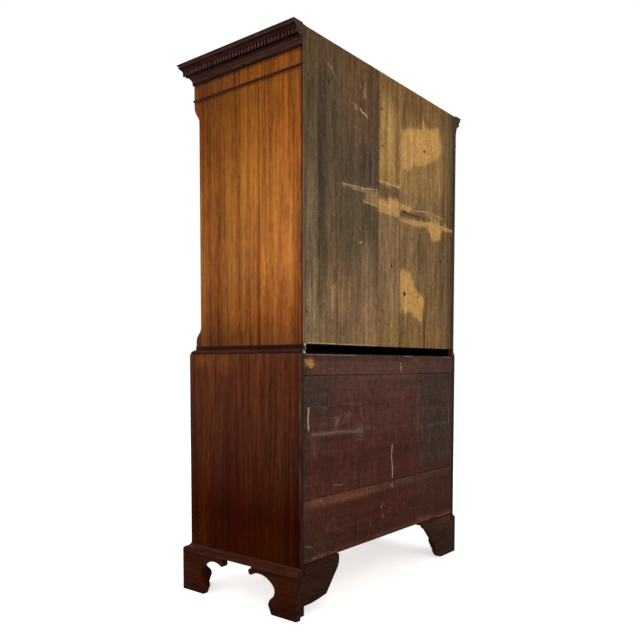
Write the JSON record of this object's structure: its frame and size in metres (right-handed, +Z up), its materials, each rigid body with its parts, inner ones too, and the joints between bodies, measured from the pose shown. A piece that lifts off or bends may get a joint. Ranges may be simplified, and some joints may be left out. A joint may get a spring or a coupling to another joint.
{
  "type": "chest on chest",
  "caption": "Mahogany chest on chest: a drawer case on ogee bracket feet with a lift-off upper case, dentil cornice, canted corners, cock-beaded drawers and swinging brass bail handles.",
  "frame": {"origin": "on the floor, under the middle of the whole object's bounding box", "axes": "+Z up, drawers open towards -Y, the backboards face +Y, +X is on the right of someone who faces the drawers"},
  "size_m": [1.0746, 0.535, 1.83],
  "materials": {
    "case_mahogany_lower": "old wax polish over dark red-brown mahogany",
    "case_mahogany_upper": "old wax polish over faded honey-brown mahogany",
    "moulding_mahogany": "dark, worn polish",
    "front_mahogany": "wax polish over veneer",
    "stained_pine": "dry, age-darkened stain with bare patches",
    "carcass_pine": "bare, aged pine",
    "drawer_oak": "bare, aged oak",
    "fitting_brass": "worn cast and lacquered brass"
  },
  "bodies": {
    "lower_chest": {"lower_side_left": "case_mahogany_lower", "lower_side_right": "case_mahogany_lower", "lower_top": "carcass_pine", "lower_bottom": "carcass_pine", "lower_backboards": "stained_pine", "lower_drawer_rails": "front_mahogany", "lower_dustboards": "carcass_pine", "base_moulding": "moulding_mahogany", "waist_moulding": "moulding_mahogany", "front_feet": "case_mahogany_lower", "rear_feet": "stained_pine"},
    "upper_chest": {"upper_side_left": "case_mahogany_upper", "upper_side_right": "case_mahogany_upper", "upper_top": "carcass_pine", "upper_bottom": "carcass_pine", "upper_backboards": "stained_pine", "upper_drawer_rails": "front_mahogany", "upper_dustboards": "carcass_pine", "frieze": "front_mahogany", "upper_beads": "moulding_mahogany", "cornice": "moulding_mahogany", "cornice_dentils": "moulding_mahogany"},
    "short_drawer_left": {"short_drawer_left_front": "front_mahogany", "short_drawer_left_box": "drawer_oak", "short_drawer_left_fittings": "fitting_brass"},
    "short_drawer_left_bail": {"short_drawer_left_bail": "fitting_brass"},
    "short_drawer_right": {"short_drawer_right_front": "front_mahogany", "short_drawer_right_box": "drawer_oak", "short_drawer_right_fittings": "fitting_brass"},
    "short_drawer_right_bail": {"short_drawer_right_bail": "fitting_brass"},
    "upper_drawer_1": {"upper_drawer_1_front": "front_mahogany", "upper_drawer_1_box": "drawer_oak", "upper_drawer_1_fittings": "fitting_brass"},
    "upper_drawer_1_bail_left": {"upper_drawer_1_bail_left": "fitting_brass"},
    "upper_drawer_1_bail_right": {"upper_drawer_1_bail_right": "fitting_brass"},
    "upper_drawer_2": {"upper_drawer_2_front": "front_mahogany", "upper_drawer_2_box": "drawer_oak", "upper_drawer_2_fittings": "fitting_brass"},
    "upper_drawer_2_bail_left": {"upper_drawer_2_bail_left": "fitting_brass"},
    "upper_drawer_2_bail_right": {"upper_drawer_2_bail_right": "fitting_brass"},
    "upper_drawer_3": {"upper_drawer_3_front": "front_mahogany", "upper_drawer_3_box": "drawer_oak", "upper_drawer_3_fittings": "fitting_brass"},
    "upper_drawer_3_bail_left": {"upper_drawer_3_bail_left": "fitting_brass"},
    "upper_drawer_3_bail_right": {"upper_drawer_3_bail_right": "fitting_brass"},
    "lower_drawer_1": {"lower_drawer_1_front": "front_mahogany", "lower_drawer_1_box": "drawer_oak", "lower_drawer_1_fittings": "fitting_brass"},
    "lower_drawer_1_bail_left": {"lower_drawer_1_bail_left": "fitting_brass"},
    "lower_drawer_1_bail_right": {"lower_drawer_1_bail_right": "fitting_brass"},
    "lower_drawer_2": {"lower_drawer_2_front": "front_mahogany", "lower_drawer_2_box": "drawer_oak", "lower_drawer_2_fittings": "fitting_brass"},
    "lower_drawer_2_bail_left": {"lower_drawer_2_bail_left": "fitting_brass"},
    "lower_drawer_2_bail_right": {"lower_drawer_2_bail_right": "fitting_brass"},
    "lower_drawer_3": {"lower_drawer_3_front": "front_mahogany", "lower_drawer_3_box": "drawer_oak", "lower_drawer_3_fittings": "fitting_brass"},
    "lower_drawer_3_bail_left": {"lower_drawer_3_bail_left": "fitting_brass"},
    "lower_drawer_3_bail_right": {"lower_drawer_3_bail_right": "fitting_brass"}
  },
  "joints": [
    {"name": "upper_chest_lift", "type": "slide", "parent": "lower_chest", "child": "upper_chest", "axis": [0, 0, 1], "range_m": [0, 0.04]},
    {"name": "short_drawer_left_slide", "type": "slide", "parent": "upper_chest", "child": "short_drawer_left", "axis": [0, -1, 0], "range_m": [0, 0.36]},
    {"name": "short_drawer_left_bail_swing", "type": "hinge", "parent": "short_drawer_left", "child": "short_drawer_left_bail", "pos_m": [-0.232, -0.2405, 1.63225], "axis": [-1, 0, 0], "range_deg": [-22, 160]},
    {"name": "short_drawer_right_slide", "type": "slide", "parent": "upper_chest", "child": "short_drawer_right", "axis": [0, -1, 0], "range_m": [0, 0.36]},
    {"name": "short_drawer_right_bail_swing", "type": "hinge", "parent": "short_drawer_right", "child": "short_drawer_right_bail", "pos_m": [0.232, -0.2405, 1.63225], "axis": [-1, 0, 0], "range_deg": [-22, 160]},
    {"name": "upper_drawer_1_slide", "type": "slide", "parent": "upper_chest", "child": "upper_drawer_1", "axis": [0, -1, 0], "range_m": [0, 0.36]},
    {"name": "upper_drawer_1_bail_left_swing", "type": "hinge", "parent": "upper_drawer_1", "child": "upper_drawer_1_bail_left", "pos_m": [-0.275, -0.2405, 1.44672], "axis": [-1, 0, 0], "range_deg": [-22, 160]},
    {"name": "upper_drawer_1_bail_right_swing", "type": "hinge", "parent": "upper_drawer_1", "child": "upper_drawer_1_bail_right", "pos_m": [0.275, -0.2405, 1.44672], "axis": [-1, 0, 0], "range_deg": [-22, 160]},
    {"name": "upper_drawer_2_slide", "type": "slide", "parent": "upper_chest", "child": "upper_drawer_2", "axis": [0, -1, 0], "range_m": [0, 0.36]},
    {"name": "upper_drawer_2_bail_left_swing", "type": "hinge", "parent": "upper_drawer_2", "child": "upper_drawer_2_bail_left", "pos_m": [-0.275, -0.2405, 1.23786], "axis": [-1, 0, 0], "range_deg": [-22, 160]},
    {"name": "upper_drawer_2_bail_right_swing", "type": "hinge", "parent": "upper_drawer_2", "child": "upper_drawer_2_bail_right", "pos_m": [0.275, -0.2405, 1.23786], "axis": [-1, 0, 0], "range_deg": [-22, 160]},
    {"name": "upper_drawer_3_slide", "type": "slide", "parent": "upper_chest", "child": "upper_drawer_3", "axis": [0, -1, 0], "range_m": [0, 0.36]},
    {"name": "upper_drawer_3_bail_left_swing", "type": "hinge", "parent": "upper_drawer_3", "child": "upper_drawer_3_bail_left", "pos_m": [-0.275, -0.2405, 1.00739], "axis": [-1, 0, 0], "range_deg": [-22, 160]},
    {"name": "upper_drawer_3_bail_right_swing", "type": "hinge", "parent": "upper_drawer_3", "child": "upper_drawer_3_bail_right", "pos_m": [0.275, -0.2405, 1.00739], "axis": [-1, 0, 0], "range_deg": [-22, 160]},
    {"name": "lower_drawer_1_slide", "type": "slide", "parent": "lower_chest", "child": "lower_drawer_1", "axis": [0, -1, 0], "range_m": [0, 0.38]},
    {"name": "lower_drawer_1_bail_left_swing", "type": "hinge", "parent": "lower_drawer_1", "child": "lower_drawer_1_bail_left", "pos_m": [-0.275, -0.2625, 0.74086], "axis": [-1, 0, 0], "range_deg": [-22, 160]},
    {"name": "lower_drawer_1_bail_right_swing", "type": "hinge", "parent": "lower_drawer_1", "child": "lower_drawer_1_bail_right", "pos_m": [0.275, -0.2625, 0.74086], "axis": [-1, 0, 0], "range_deg": [-22, 160]},
    {"name": "lower_drawer_2_slide", "type": "slide", "parent": "lower_chest", "child": "lower_drawer_2", "axis": [0, -1, 0], "range_m": [0, 0.38]},
    {"name": "lower_drawer_2_bail_left_swing", "type": "hinge", "parent": "lower_drawer_2", "child": "lower_drawer_2_bail_left", "pos_m": [-0.275, -0.2625, 0.53531], "axis": [-1, 0, 0], "range_deg": [-22, 160]},
    {"name": "lower_drawer_2_bail_right_swing", "type": "hinge", "parent": "lower_drawer_2", "child": "lower_drawer_2_bail_right", "pos_m": [0.275, -0.2625, 0.53531], "axis": [-1, 0, 0], "range_deg": [-22, 160]},
    {"name": "lower_drawer_3_slide", "type": "slide", "parent": "lower_chest", "child": "lower_drawer_3", "axis": [0, -1, 0], "range_m": [0, 0.38]},
    {"name": "lower_drawer_3_bail_left_swing", "type": "hinge", "parent": "lower_drawer_3", "child": "lower_drawer_3_bail_left", "pos_m": [-0.275, -0.2625, 0.31019], "axis": [-1, 0, 0], "range_deg": [-22, 160]},
    {"name": "lower_drawer_3_bail_right_swing", "type": "hinge", "parent": "lower_drawer_3", "child": "lower_drawer_3_bail_right", "pos_m": [0.275, -0.2625, 0.31019], "axis": [-1, 0, 0], "range_deg": [-22, 160]}
  ]
}
